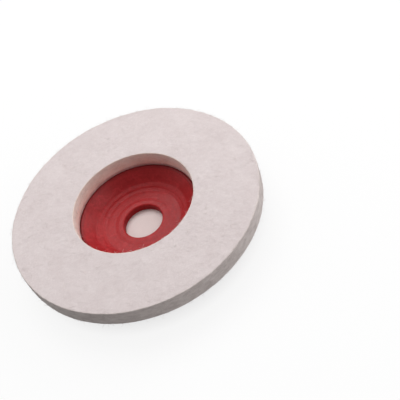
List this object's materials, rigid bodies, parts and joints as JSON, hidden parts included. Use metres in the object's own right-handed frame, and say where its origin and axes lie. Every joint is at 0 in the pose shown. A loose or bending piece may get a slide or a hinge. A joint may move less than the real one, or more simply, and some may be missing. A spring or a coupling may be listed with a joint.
{
  "type": "felt polishing wheel",
  "caption": "Flat ring of pressed wool felt bonded to a dished plastic backing plate with a central arbor bore, for polishing on an angle grinder.",
  "frame": {"origin": "centre of the arbor bore, in the plane of the hub's back face, which is what the wheel lies on", "axes": "+Z along the wheel's axis and out of the felt's working face; X and Y lie in the wheel's plane, with X along one stiffening rib"},
  "size_m": [0.1, 0.1, 0.0159],
  "materials": {
    "wool_felt": "matte",
    "plate_plastic": "satin",
    "cured_adhesive": "satin"
  },
  "bodies": {
    "root": {"backing_plate": "plate_plastic", "adhesive_layer": "cured_adhesive", "felt_ring": "wool_felt"}
  },
  "joints": []
}
